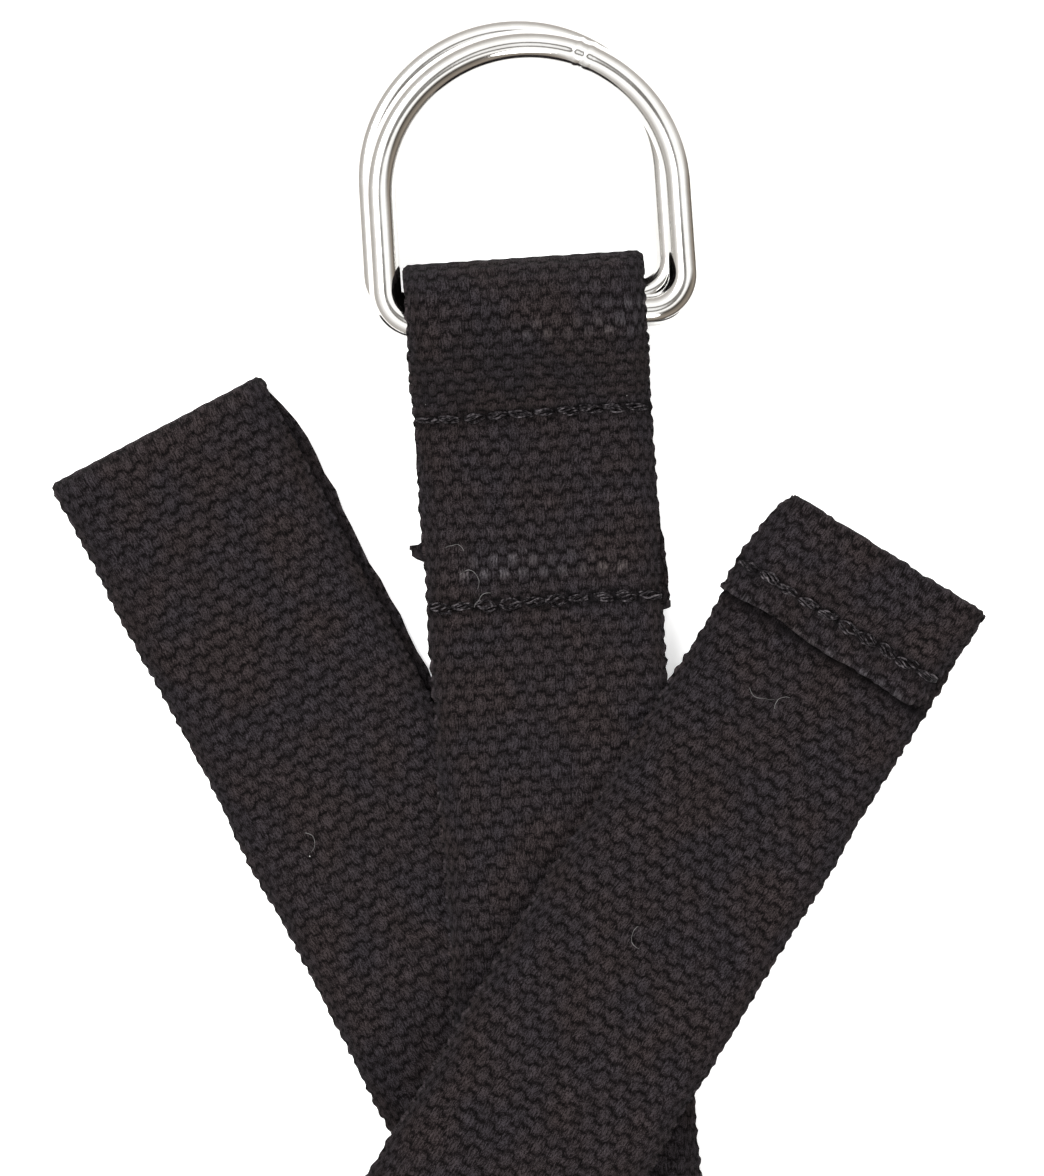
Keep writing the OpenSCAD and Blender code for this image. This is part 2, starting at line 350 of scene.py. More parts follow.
def tangent_angle(start, side):
    """Slope of the line from start that touches the loop, below (-1) or above (1)."""
    reach = np.array([LOOP_CENTRE_U, LOOP_CENTRE_Z]) - start
    return math.atan2(reach[1], reach[0]) + side * math.asin(LOOP_MID_R / np.hypot(*reach))


def side_view():
    """The middle line of the sewn end, in even short steps."""
    step = 0.2 * MM
    end_mid, flap_mid, centre_mid = FLAP_END_Z + HALF_T, FLAP_Z + HALF_T, CENTRE_Z + HALF_T
    fold_u = FLAP_END_U + LAYER / 2 + HALF_T
    low_angle = tangent_angle(np.array([LOOP_START, flap_mid]), -1)
    top_angle = tangent_angle(np.array([LOOP_START, centre_mid]), 1)
    line = [(FLAP_END_U + TURN_LENGTH, end_mid), (fold_u, end_mid)]
    for a in np.linspace(-math.pi / 2, -3 * math.pi / 2, 13)[1:-1]:
        radius = (flap_mid - end_mid) / 2
        z = (end_mid + flap_mid) / 2 + radius * math.sin(a)
        line.append((fold_u + radius * math.cos(a), z))
    line += [(fold_u, flap_mid), (LOOP_START, flap_mid)]
    for a in np.linspace(low_angle - math.pi / 2, top_angle + math.pi / 2, 40):
        z = LOOP_CENTRE_Z + LOOP_MID_R * math.sin(a)
        line.append((LOOP_CENTRE_U + LOOP_MID_R * math.cos(a), z))
    line += [(LOOP_START, centre_mid), (LOOP_START - 20 * MM, centre_mid)]
    line = np.array(line)
    length = np.concatenate([[0], np.cumsum(np.hypot(*np.diff(line, axis=0).T))])
    even = np.arange(0, length[-1], step)
    fine = np.stack([np.interp(even, length, line[:, i]) for i in (0, 1)], axis=1)
    # Round the corners of the loop, and leave the tight fold of the flap as it is
    soft = fine.copy()
    for _ in range(220):
        soft[1:-1] = soft[1:-1] * 0.5 + (soft[:-2] + soft[2:]) * 0.25
    share = smooth_step(LOOP_START - 14 * MM, LOOP_START - 8 * MM, fine[:, 0])[:, None]
    fine = fine * (1 - share) + soft * share
    return even, fine


side_length, side_line = side_view()
side_tangent = np.gradient(side_line, side_length, axis=0)
side_tangent /= np.linalg.norm(side_tangent, axis=1)[:, None]
# Where the side view ends: arc length from the raw end of the flap, and place along
# the centre run
V_CENTRE = float(side_length[-1])
U_CENTRE = float(side_line[-1, 0])

# How far the flap's end is to the right, and how far its turned-under end swings back
FLAP_ASKEW, TURN_ASKEW = 0.9 * MM, 3.0 * MM


def sewn_shift(v, u):
    """Sideways shift of the flap and its turned-under end, which were sewn askew."""
    turned = v < TURN_LENGTH
    at_fold = FLAP_ASKEW * smooth_step(LOOP_START, FLAP_END_U, u) ** 2
    swing = smooth_step(0.68, 0.86, (u - FLAP_END_U) / TURN_LENGTH)
    at_end = FLAP_ASKEW - TURN_ASKEW * swing
    under = v < TURN_LENGTH + FLAP_LENGTH
    return np.where(turned, at_end, np.where(under, at_fold, 0.0))


def lay_shift(v):
    """Sideways shift, across the strap, of the runs that were laid down askew."""
    start, end = spans[2]
    left = LEFT_SHIFT * smooth_step(0, 9 * MM, v - start) * smooth_step(0, 40 * MM, end - v)
    hem = HEM_SHIFT * smooth_step(0, 12 * MM, v - spans[-1][0])
    return LEFT_SIGN * left + HEM_SIGN * hem


def place(x, v, h):
    """Points of the folded strap, from flat ones: x across the webbing, v along it from
    the raw end of the flap, and h from its middle, towards its outer face."""
    out = np.zeros((len(x), 3))
    sewn = v < V_CENTRE
    if sewn.any():
        xs, vs, hs = x[sewn], v[sewn], h[sewn]
        u = np.interp(vs, side_length, side_line[:, 0])
        z = np.interp(vs, side_length, side_line[:, 1])
        tu = np.interp(vs, side_length, side_tangent[:, 0])
        tz = np.interp(vs, side_length, side_tangent[:, 1])
        xs = xs + sewn_shift(vs, u)
        plan = (u + hs * tz)[:, None] * CENTRE_DIR + xs[:, None] * CENTRE_RIGHT
        out[sewn] = np.column_stack([plan, z - hs * tu])
    rest = ~sewn
    xs, vs, up = x[rest], v[rest], h[rest].copy()
    xs = xs + lay_shift(vs)
    plan = (U_CENTRE - (vs - V_CENTRE))[:, None] * CENTRE_DIR + xs[:, None] * CENTRE_RIGHT
    result = np.zeros((len(xs), 3))
    going = np.ones(len(xs), bool)
    for run in range(len(folds) + 1):
        if run == len(folds):
            here = going.copy()
        else:
            point, outward, radius = folds[run]
            past = (plan - point) @ outward
            here = going & (past <= 0)
        result[here, :2] = plan[here]
        result[here, 2] = run_height(run, plan[here]) + up[here]
        going &= ~here
        if run == len(folds) or not going.any():
            break
        # Points on the fold itself go round half a turn
        bend = going & (past < math.pi * radius)
        foot = plan - past[:, None] * outward
        angle = past / radius
        low_high = np.stack([run_height(run, foot), run_height(run + 1, foot)])
        side = np.sign(low_high[1] - low_high[0])
        middle = low_high.mean(axis=0)
        half = np.abs(low_high[1] - low_high[0]) / 2
        reach = radius - side * up
        result[bend, :2] = (foot + (reach * np.sin(angle))[:, None] * outward)[bend]
        result[bend, 2] = (middle - side * (half - side * up) * np.cos(angle))[bend]
        going &= ~bend
        # Points beyond it carry on, turned over
        plan = foot - (past - math.pi * radius)[:, None] * outward
        up = -up
    out[rest] = result
    return out


def run_ends():
    """Arc length along the middle of the strap at which each run starts and ends."""
    v, spot, way = V_CENTRE, U_CENTRE * CENTRE_DIR, -CENTRE_DIR
    ends = []
    for point, outward, radius in folds:
        lean = float(np.dot(way, outward))
        reach = float(np.dot(point - spot, outward)) / lean
        bend = math.pi * radius / lean
        ends.append((v, v + reach))
        v += reach + bend
        spot = spot + way * reach + (way - lean * outward) * bend
        way = way - 2 * lean * outward
    ends.append((v, v + HEM_LENGTH))
    return ends


def run_side(run):
    """The way in plan that +x of the flat strap points in a run."""
    side = CENTRE_RIGHT
    for _, outward, _ in folds[:run]:
        side = side - 2 * np.dot(side, outward) * outward
    return side


spans = run_ends()
V_END = spans[-1][1]
# Which way across the strap the lower left run and the hem's flap are shifted
LEFT_SIGN = np.sign(run_side(2)[0])
HEM_SIGN = -np.sign(run_side(len(folds)) @ TAIL_RIGHT)


def upper_v(u):
    """Arc length at a distance u along the centre run, on its upper face."""
    upper = side_length > side_length[int(np.argmax(side_line[:, 0]))]
    if u > U_CENTRE:
        return float(np.interp(-u, -side_line[upper, 0], side_length[upper]))
    return V_CENTRE + U_CENTRE - u


def lower_v(u):
    """Arc length at a distance u along the centre run, on the flap below it."""
    lower = side_length > TURN_LENGTH + 2 * MM
    lower &= side_length < TURN_LENGTH + FLAP_LENGTH + 4 * MM
    return float(np.interp(u, side_line[lower, 0], side_length[lower]))


# ------------
# The weave's shape, and where the stitches pull it in

V_HEM_FOLD = (spans[-2][1] + spans[-1][0]) / 2
HEM_ROW_TAIL_V = V_HEM_FOLD - HEM_ROW_INSET
HEM_ROW_FLAP_V = V_HEM_FOLD + HEM_ROW_INSET
TURNED_ROW_V = TURN_LENGTH - (FLAP_ROW_U - FLAP_END_U)
# Where rows of stitches pull in the outer face (1) and the inner face (-1)
STITCHED_V = {
    1: [upper_v(LOOP_ROW_U), lower_v(LOOP_ROW_U), upper_v(FLAP_ROW_U)],
    -1: [TURNED_ROW_V, HEM_ROW_TAIL_V, HEM_ROW_FLAP_V],
}


def woven_place(x, v):
    """Where a point of the flat webbing sits in the even weave pattern, which wanders
    slowly, and a little from bump to bump."""
    drift_x = 0.28 * soft_noise(x / (9 * MM), v / (14 * MM))
    drift_x = drift_x + 0.18 * soft_noise(x / (2 * MM), v / (2.5 * MM) + 40)
    drift_v = 0.3 * soft_noise(x / (14 * MM) + 9, v / (16 * MM))
    drift_v = drift_v + 0.18 * soft_noise(x / (2.2 * MM), v / (3 * MM))
    squeeze = SELVAGE_SQUEEZE * np.sign(x) * np.maximum(0, np.abs(x) - (HALF_W - SELVAGE_W))
    return x + squeeze + drift_x * MM, v + drift_v * MM


def weave_height(x, v):
    """Height of the weave, from 0 in the gaps to 1 on the bumps."""
    wx, wv = woven_place(x, v)
    across = np.clip(SQUARENESS * np.cos(2 * math.pi * wx / BUMP_W), -1, 1)
    phase = math.pi * wv / ROW_PITCH
    ridge = np.abs(np.cos(phase - math.pi * ROW_SAG / ROW_PITCH * across * np.sin(phase)))
    bump = 0.5 + 0.5 * across * np.cos(phase)
    row = np.round(wv / ROW_PITCH)
    size = 0.82 + 0.18 * lattice(np.round(wx / BUMP_W + row / 2), row)
    grain = 0.1 * soft_noise(x / (0.8 * MM), v / (1.1 * MM))
    return np.clip(np.clip(ridge, 0, 1) ** 0.5 * (0.76 + 0.24 * bump) * size + grain, 0, 1)


def stitch_pull(x, v, side):
    """Depth that the stitches pull the webbing in by, with a hole between stitches."""
    depth = np.zeros_like(x)
    for row_v in STITCHED_V[side]:
        near = bump_at(v, row_v, 1.5 * MM)
        hole = np.abs(np.sin(math.pi * (x / STITCH_PITCH + 0.5))) ** 8
        inside = np.abs(x) < STITCH_PITCH * STITCH_COUNT / 2
        depth += near * (0.16 + 0.3 * hole * inside) * MM
    return depth


def face_height(x, v, side, fine):
    """How far the outer face (side 1) or inner face (-1) is from the strap's middle."""
    selvage = smooth_step(HALF_W, HALF_W - 0.9 * MM, np.abs(x))
    if fine:
        relief = RELIEF * (1 - weave_height(x, v))
    else:
        relief = np.full_like(x, 0.4 * RELIEF)
    # The end of the tail is uneven where the hem is folded over
    uneven = np.abs(soft_noise(x / (1.2 * MM), v / (4 * MM)))
    lumps = 0.4 * MM * uneven * bump_at(v, V_HEM_FOLD, 2.5 * MM)
    deep = relief + stitch_pull(x, v, side) + 0.3 * MM * (1 - selvage) + lumps
    return side * (HALF_T - deep)


def edge_x(v, side):
    """Where the selvage runs: a scallop at each turn of the weft, and a slow wander."""
    scallop = 0.14 * MM * np.cos(2 * math.pi * v / ROW_PITCH + side)
    wander = 0.25 * MM * soft_noise(v / (11 * MM), 3.0 * side)
    fuzz = 0.15 * MM * soft_noise(v / (0.8 * MM), 8.0 * side)
    return scallop + wander + fuzz - 0.2 * MM


def cut_edge(x, end_v):
    """How far a raw cut end falls short of straight, thread by thread."""
    ragged = 0.35 * soft_noise(x / (0.7 * MM), np.full_like(x, end_v * 50)) ** 2
    slow = 0.5 * soft_noise(x / (9 * MM), np.full_like(x, 7 + end_v * 50))
    corner = 1.5 * smooth_step(-HALF_W + 2.8 * MM, -HALF_W, x)
    return MM * (ragged + slow + corner)


# Rows of bumps with chalky marks: place along the centre run, reach along it, and from
# where to where across it, in millimetres
CHALK_ROWS = [
    (143.6 * MM, 0.9 * MM, -1, 19),
    (146.0 * MM, 0.8 * MM, 10, 20),
    (108.6 * MM, 0.9 * MM, -12, 6),
    (106.4 * MM, 0.9 * MM, -14, 14),
]

# ------------
# The strap: one closed mesh, finer where the weave is looked at closely

# Columns across a face, and steps between rows
FINE, MEDIUM, COARSE = 4 * BUMP_COUNT, 2 * BUMP_COUNT, BUMP_COUNT
FINE_STEP, MEDIUM_STEP, LONG_STEP = ROW_PITCH / 4, ROW_PITCH / 3, 3.2 * MM


def fold_zone(k, margin):
    """The stretch of strap that fold k takes up, over the whole width."""
    v = (spans[k][1] + spans[k + 1][0]) / 2
    outward = folds[k][1]
    lean = float(np.dot(outward, ways[k]))
    side = math.sqrt(max(0.0, 1 - lean * lean))
    return v - HALF_W * side / lean - margin, v + HALF_W * side / lean + margin


def zone_table():
    """Stretches of the strap: start, row step, and columns on the outer and inner face."""
    wide, narrow = 3.4 * MM, 2.6 * MM
    rows = [(0.0, FINE_STEP, FINE, FINE), (TURN_LENGTH - 4.5 * MM, FINE_STEP, FINE, FINE)]
    rows += [(TURN_LENGTH + 3 * MM, 1.6 * MM, MEDIUM, COARSE)]
    rows += [(TURN_LENGTH + FLAP_LENGTH + 8 * MM, FINE_STEP, FINE, COARSE)]
    low, high = fold_zone(0, wide)
    rows += [(low, FINE_STEP, FINE, FINE), (high, FINE_STEP, COARSE, FINE)]
    low, high = fold_zone(1, narrow)
    rows += [(low, FINE_STEP, COARSE, FINE), (high, LONG_STEP, COARSE, COARSE)]
    low, high = fold_zone(2, wide)
    rows += [(low, FINE_STEP, MEDIUM, MEDIUM), (high, LONG_STEP, COARSE, COARSE)]
    for k in range(3, BUNDLE_LAYERS + 2):
        low, high = fold_zone(k, narrow)
        rows += [(low, FINE_STEP, COARSE, COARSE)]
        if k < BUNDLE_LAYERS + 1:
            rows += [(high, LONG_STEP, COARSE, COARSE)]
        else:
            rows += [(high, MEDIUM_STEP, COARSE, MEDIUM)]
    low, high = fold_zone(BUNDLE_LAYERS + 2, wide)
    rows += [(low, FINE_STEP, FINE, MEDIUM), (high, FINE_STEP, FINE, COARSE)]
    low, high = fold_zone(BUNDLE_LAYERS + 3, narrow)
    rows += [(low, FINE_STEP, FINE, FINE), (high, FINE_STEP, FINE, FINE)]
    return rows


def strap_rows():
    """Every row of the mesh: where it is, and its columns on each face."""
    table = zone_table()
    rows = []
    for k, (start, step, outer, inner) in enumerate(table):
        start = round(start / FINE_STEP) * FINE_STEP
        stop = round(table[k + 1][0] / FINE_STEP) * FINE_STEP if k + 1 < len(table) else V_END
        count = max(1, round((stop - start) / step))
        for i in range(count):
            rows.append((start + (stop - start) * i / count, outer, inner))
    rows.append((V_END, FINE, FINE))
    return rows


def chalk_marks(x, v):
    """How chalky the yarn is, from 0 to 1: rubbed bumps in rows near the sewn end."""
    marks = np.zeros_like(x)
    for u, reach, left, right in CHALK_ROWS:
        across = smooth_step(left - 3, left + 3, x / MM)
        across = across * smooth_step(right + 3, right - 3, x / MM)
        patchy = 0.55 + 0.45 * soft_noise(x / (3 * MM), np.full_like(x, u * 700))
        marks += bump_at(v, upper_v(u), reach) * across * patchy
    # The frayed raw edge of the hem is paler too
    return np.clip(marks + 0.3 * (v > V_END - 0.7 * MM), 0, 1)


# The selvage: how far in it starts to wander, and the four points of its two rounded
# edges, as heights between the faces and as a step in from the outermost point
EDGE_ZONE = 2.5 * MM
EDGE_HEIGHTS = np.array([0.45, -0.45, -0.45, 0.45]) * HALF_T
EDGE_ROUNDING = 0.32 * MM
# The worn corner of the hem's fold
CORNER_WEAR = 1.3 * MM
# Only this close to a raw end do rows follow the frayed cut
CUT_REACH = 0.4 * MM


def cross_section(v, outer, inner):
    """One row of the mesh, round the strap: its points as drawn (x, v, h), and x on the
    even flat webbing."""
    top = np.linspace(-HALF_W, HALF_W, outer + 1)
    bottom = np.linspace(HALF_W, -HALF_W, inner + 1)
    tip = np.array([HALF_W, HALF_W])
    flat = np.concatenate([top, tip, bottom, -tip])
    side = np.repeat([1.0, 0.0, -1.0, 0.0], [len(top), 2, len(bottom), 2])
    vs, h = np.full(len(flat), v), np.zeros(len(flat))
    upper, under = side == 1, side == -1
    h[upper] = face_height(flat[upper], vs[upper], 1, outer > COARSE)
    h[under] = face_height(flat[under], vs[under], -1, inner > COARSE)
    h[side == 0] = EDGE_HEIGHTS
    lie = np.sign(flat)
    outmost = smooth_step(HALF_W - EDGE_ZONE, HALF_W, np.abs(flat))
    x = flat + lie * outmost * edge_x(vs, lie)
    worn = bump_at(v, V_HEM_FOLD, 2.2 * MM) + 0.25 * bump_at(v, V_HEM_FOLD, 5 * MM)
    x -= lie * outmost * (lie == HEM_SIGN) * CORNER_WEAR * worn
    x -= lie * (outmost > 0.99) * (side != 0) * EDGE_ROUNDING
    if v < CUT_REACH:
        vs = vs + cut_edge(flat, 0.0)
    if v > V_END - CUT_REACH:
        vs = vs - cut_edge(flat, 2.0)
    return x, vs, h, flat


def strap_faces(rows, starts):
    """The faces between rows, which join unequal counts of columns, and the end caps."""
    faces = []
    for k in range(len(rows) - 1):
        here, there = starts[k], starts[k + 1]
        (_, outer, inner), (_, outer2, inner2) = rows[k], rows[k + 1]
        # Each strip of faces goes round the strap: outer face, edge, inner face, edge
        parts = [(0, outer, 0, outer2), (outer, 3, outer2, 3)]
        parts += [(outer + 3, inner, outer2 + 3, inner2)]
        parts += [(outer + inner + 3, 3, outer2 + inner2 + 3, 3)]
        size, size2 = outer + inner + 6, outer2 + inner2 + 6
        for a, n, b, m in parts:
            steps = min(n, m)
            for i in range(steps):
                left = range(i * n // steps, (i + 1) * n // steps + 1)
                right = range(i * m // steps, (i + 1) * m // steps + 1)
                left = [here + (a + column) % size for column in left]
                right = [there + (b + column) % size2 for column in right]
                faces.append(left + right[::-1])
    for start, row, turned in ((starts[0], rows[0], False), (starts[-1], rows[-1], True)):
        n = row[1]
        last = start + 2 * n + 6
        caps = [[start, last - 1, last - 2, last - 3]]
        for i in range(n):
            caps.append([start + i, start + i + 1, last - 4 - i, last - 3 - i])
        caps.append([start + n, start + n + 1, start + n + 2, start + n + 3])
        faces += [cap if turned else cap[::-1] for cap in caps]
    return faces


def painted_shade_marks(x, v, h):
    """Painted shade, from 0 to 1: where the stitches pull the webbing in, at its edges and at a
    crease.
    """
    pull = np.where(h > 0, stitch_pull(x, v, 1), stitch_pull(x, v, -1))
    # Painted shade on the selvage edges, except near the end of the tail
    edge = 0.45 * (np.abs(h) < HALF_T / 2) * (v < V_END - 1 * MM)
    # A painted shadow along the crease that the hem's raw edge makes on the run under it
    crease = 2 * V_HEM_FOLD - V_END - 0.4 * MM
    edge = edge + 0.85 * bump_at(v, crease, 0.9 * MM) * (h > 0)
    return np.clip((pull / MM - 0.06) * 2.6 + edge, 0, 0.92)


def build_webbing():
    rows = strap_rows()
    sections = [cross_section(*row) for row in rows]
    starts = np.cumsum([0] + [len(section[0]) for section in sections])[:-1].tolist()
    x, v, h, flat = (np.concatenate(parts) for parts in zip(*sections))
    obj = new_object("webbing", place(x, v, h), strap_faces(rows, starts))
    wx, wv = woven_place(flat, v)
    add_map(obj, "Weave", np.column_stack([wx / MAP_UNIT, wv / MAP_UNIT]))
    # Chalky wear marks, and painted shade at stitches, edges and the hem's crease, kept for the
    # material
    for name, values in (("Chalk", chalk_marks(flat, v)), ("PaintedShade", painted_shade_marks(flat, v, h))):
        marks = obj.data.attributes.new(name, "FLOAT", "POINT")
        marks.data.foreach_set("value", values)
    return obj


def turn_outward(obj):
    """Make the faces of a closed mesh point outward."""
    mesh = obj.data
    mesh.calc_loop_triangles()
    tri = np.zeros(len(mesh.loop_triangles) * 3, int)
    mesh.loop_triangles.foreach_get("vertices", tri)
    co = np.zeros(len(mesh.vertices) * 3)
    mesh.vertices.foreach_get("co", co)
    a, b, c = co.reshape(-1, 3)[tri.reshape(-1, 3)].transpose(1, 0, 2)
    if np.einsum("ij,ij->i", a, np.cross(b, c)).sum() < 0:
        mesh.flip_normals()


# ------------
# Materials


class Nodes:
    """Short ways to add nodes to a material and join them."""

    def __init__(self, name):
        self.material = bpy.data.materials.new(name)
        self.material.use_nodes = True
        self.tree = self.material.node_tree
        self.shader = self.tree.nodes["Principled BSDF"]

    def add(self, kind, inputs=(), **settings):
        return add_node(self.tree, kind, inputs, **settings)

    def math(self, operation, a, b=0.0, c=0.0, clamp=False):
        inputs = {0: a, 1: b, 2: c}
        made = self.add("ShaderNodeMath", inputs, operation=operation, use_clamp=clamp)
        return made.outputs[0]

    def times(self, a, b, plus=None):
        """a times b, with plus added where it is given."""
        if plus is None:
            return self.math("MULTIPLY", a, b)
        return self.math("MULTIPLY_ADD", a, b, plus)

    def noise(self, vector, scale, detail=2.0, rough=0.5):
        inputs = {"Vector": vector, "Scale": scale, "Detail": detail, "Roughness": rough}
        return self.add("ShaderNodeTexNoise", inputs).outputs["Fac"]

    def stretched(self, vector, scale, turn=0.0):
        inputs = {"Vector": vector, "Scale": scale, "Rotation": (0, 0, turn)}
        return self.add("ShaderNodeMapping", inputs).outputs["Vector"]

    def ramp(self, value, stops):
        return add_ramp(self.tree, value, stops)

    def blend(self, factor, a, b, mode="MIX"):
        inputs = {0: factor, 6: a, 7: b}
        return self.add("ShaderNodeMix", inputs, data_type="RGBA", blend_type=mode).outputs[2]

    def to_shader(self, socket, value):
        self.tree.links.new(value, self.shader.inputs[socket])

    def bump(self, height, strength, distance):
        inputs = {"Height": height, "Strength": strength, "Distance": distance}
        self.to_shader("Normal", self.add("ShaderNodeBump", inputs).outputs["Normal"])

    def finish(self, **values):
        """Set values that are the same all over the surface, by their sockets' names."""
        for name, value in values.items():
            self.shader.inputs[name.replace("_", " ")].default_value = value


def grey(*levels):
    """Plain grey colours."""
    return [(level, level, level) for level in levels]


BLACK, WHITE = grey(0, 1)
# How far the outline of a bump wobbles, in units of the map
WOBBLE = 0.034


def webbing_material():
    """Woven cotton: the same pattern of bumps as in weave_height, with its yarns and painted
    shade.
    """
    m = Nodes("cotton_webbing")
    uv = m.add("ShaderNodeUVMap", uv_map="Weave").outputs["UV"]
    chalk = m.add("ShaderNodeAttribute", attribute_name="Chalk").outputs["Fac"]
    # The yarns are soft, so the outline of each bump wobbles
    wobble = m.add("ShaderNodeTexNoise", {"Vector": uv, "Scale": 12.0, "Detail": 3.0})
    inputs = {0: wobble.outputs["Color"], 1: (WOBBLE, WOBBLE, 0), 2: uv}
    moved = m.add("ShaderNodeVectorMath", inputs, operation="MULTIPLY_ADD").outputs[0]
    inputs = {0: moved, 1: (WOBBLE / 2, WOBBLE / 2, 0)}
    centred = m.add("ShaderNodeVectorMath", inputs, operation="SUBTRACT").outputs[0]
    split = m.add("ShaderNodeSeparateXYZ", {0: centred})
    turns = m.times(split.outputs[0], 2 * math.pi * MAP_UNIT / BUMP_W)
    across = m.times(m.math("COSINE", turns), SQUARENESS)
    across = m.math("MAXIMUM", m.math("MINIMUM", across, 1.0), -1.0)
    yarns = m.math("ABSOLUTE", m.math("COSINE", m.times(turns, 2.0)))
    phase = m.times(split.outputs[1], math.pi * MAP_UNIT / ROW_PITCH)
    sag = m.times(across, m.math("SINE", phase))
    sag = m.times(sag, math.pi * ROW_SAG / ROW_PITCH)
    ridge = m.math("ABSOLUTE", m.math("COSINE", m.math("SUBTRACT", phase, sag)))
    bump = m.times(across, m.math("COSINE", phase))
    bump = m.times(bump, 0.5, 0.5)
    # Twisted yarn: fine streaks along the strap, leaning a little, and stray fibres
    streak = m.noise(m.stretched(uv, (31, 9, 1), 0.42), 1.0, 5.0, 0.75)
    fibre = m.noise(m.stretched(uv, (58, 19, 1), 0.5), 1.0, 3.0, 0.8)
    patch = m.noise(m.stretched(uv, (3.2, 4.4, 1)), 1.0, 2.0, 0.6)
    wash = m.noise(uv, 0.9)
    speck = m.noise(uv, 62.0, 1.0, 0.5)
    stray = m.times(fibre, 0.7, -0.35)
    rough = m.math("ADD", m.math("SUBTRACT", streak, 0.5), stray)
    rough = m.math("ADD", rough, m.times(speck, 0.6, -0.3))
    # Painted shade in the gap between two rows: darkest where a yarn dives under, and fainter
    # here and there, where the yarns are fuller
    lightest = m.times(m.math("ABSOLUTE", across), -0.62, 0.62)
    gap = m.math("MAXIMUM", m.math("POWER", ridge, 0.5), lightest)
    fuller, open_wide = grey(0.6, 1)
    fullness = m.noise(m.stretched(uv, (5, 6, 1)), 1.0, 1.0)
    open_gap = m.ramp(fullness, [(0.36, fuller), (0.6, open_wide)])
    gap = m.times(m.math("SUBTRACT", 1.0, gap), open_gap)
    gap = m.math("SUBTRACT", 1.0, gap)
    # Painted shading: the colour is lighter on the tops of the bumps and yarns, and darker
    # between bumps side by side
    dome = m.times(gap, m.times(bump, 0.07, 0.61))
    dome = m.times(dome, m.times(yarns, 0.18, 0.9))
    middle = m.times(m.math("ABSOLUTE", across), 0.34, 0.7)
    dome = m.times(dome, middle)
    depth = m.math("ADD", dome, m.times(rough, 2.3), clamp=True)
    # The dark cotton's colour, from this painted shade and shading together with the yarns'
    # streaks
    shades = [(0.2, (0.0015, 0.0012, 0.0012)), (0.38, (0.0072, 0.0058, 0.006))]
    shades += [(0.6, (0.0158, 0.0132, 0.0142)), (0.98, (0.042, 0.037, 0.0395))]
    base = m.ramp(depth, shades)
    # Pale hairs, chalky marks, uneven dye, painted shade at stitches, edges and a crease,
    # and specks of dust
    hairs = m.ramp(fibre, [(0.56, BLACK), (0.72, WHITE)])
    hairy = m.blend(m.times(hairs, ridge), base, (0.066, 0.06, 0.062, 1))
    faint, strong = grey(0.04, 0.7)
    rubbed = m.times(chalk, m.ramp(streak, [(0.42, faint), (0.64, strong)]))
    top = m.math("POWER", m.times(bump, ridge), 2.0)
    chalky = m.blend(m.times(rubbed, top), hairy, (0.26, 0.25, 0.25, 1))
    tone = m.ramp(patch, [(0.3, (0.8, 0.78, 0.78)), (0.7, (1.2, 1.15, 1.17))])
    toned = m.blend(1.0, chalky, tone, "MULTIPLY")
    # Painted shade: the colour goes towards black at stitches, selvage edges and the hem's
    # crease
    painted_shade = m.add("ShaderNodeAttribute", attribute_name="PaintedShade").outputs["Fac"]
    toned = m.blend(painted_shade, toned, (0.002, 0.0018, 0.002, 1))
    warm = m.ramp(wash, [(0.38, (0.94, 0.96, 1.02)), (0.64, (1.08, 1.0, 0.95))])
    coloured = m.blend(1.0, toned, warm, "MULTIPLY")
    specks = m.add("ShaderNodeTexVoronoi", {"Vector": uv, "Scale": 0.9})
    dust = m.ramp(specks.outputs["Distance"], [(0.006, WHITE), (0.011, BLACK)])
    m.to_shader("Base Color", m.blend(dust, coloured, (0.55, 0.55, 0.55, 1)))
    m.finish(Roughness=0.92, Specular_IOR_Level=0.04, Sheen_Weight=0.02, Sheen_Roughness=0.5)
    height = m.math("ADD", m.times(dome, 0.9), m.times(streak, 0.8))
    height = m.math("ADD", height, m.times(fibre, 0.5))
    m.bump(height, 1.0, 0.45 * MM)
    return m.material


def thread_material():
    """Shiny twisted thread, with glints painted into its colour along each strand as painted
    highlights.
    """
    m = Nodes("sewing_thread")
    place_at = m.add("ShaderNodeTexCoord").outputs["Object"]
    uv = m.add("ShaderNodeUVMap", uv_map="Thread").outputs["UV"]
    inputs = {"Vector": uv, "Scale": 1.0, "Distortion": 0.6}
    ply = m.add("ShaderNodeTexWave", inputs, bands_direction="DIAGONAL")
    fine = m.noise(place_at, 2300.0, 2.0, 0.6)
    # Painted highlights: bright glints painted into the colour along each strand
    painted_glint = m.noise(m.stretched(uv, (0.35, 2.2, 1)), 1.0, 2.0, 0.6)
    tone = m.math("ADD", m.times(painted_glint, 0.65), m.times(fine, 0.35))
    shades = [(0.4, (0.0012, 0.001, 0.0011)), (0.5, (0.014, 0.012, 0.0135))]
    shades += [(0.66, (0.16, 0.145, 0.155))]
    m.to_shader("Base Color", m.ramp(tone, shades))
    m.finish(Roughness=0.3, Specular_IOR_Level=0.08)
    m.bump(ply.outputs["Fac"], 0.8, 0.12 * MM)
    return m.material


def chrome_material():
    """Bright plating with faint smudges and fine scratches."""
    m = Nodes("plated_steel")
    place_at = m.add("ShaderNodeTexCoord").outputs["Object"]
    smudge = m.noise(place_at, 240.0, 4.0, 0.6)
    scratch = m.noise(m.stretched(place_at, (2600, 420, 1200)), 1.0, 2.0, 0.6)
    colour = m.ramp(smudge, [(0.3, (0.54, 0.53, 0.51)), (0.7, (0.6, 0.595, 0.58))])
    m.to_shader("Base Color", colour)
    m.finish(Metallic=1.0)
    rough = m.math("ADD", m.times(smudge, 0.1), m.times(scratch, 0.06))
    m.to_shader("Roughness", m.math("ADD", rough, 0.03))
    m.bump(scratch, 0.12, 0.02 * MM)
    return m.material


# ------------
# Tubes: a wire or thread swept along a path


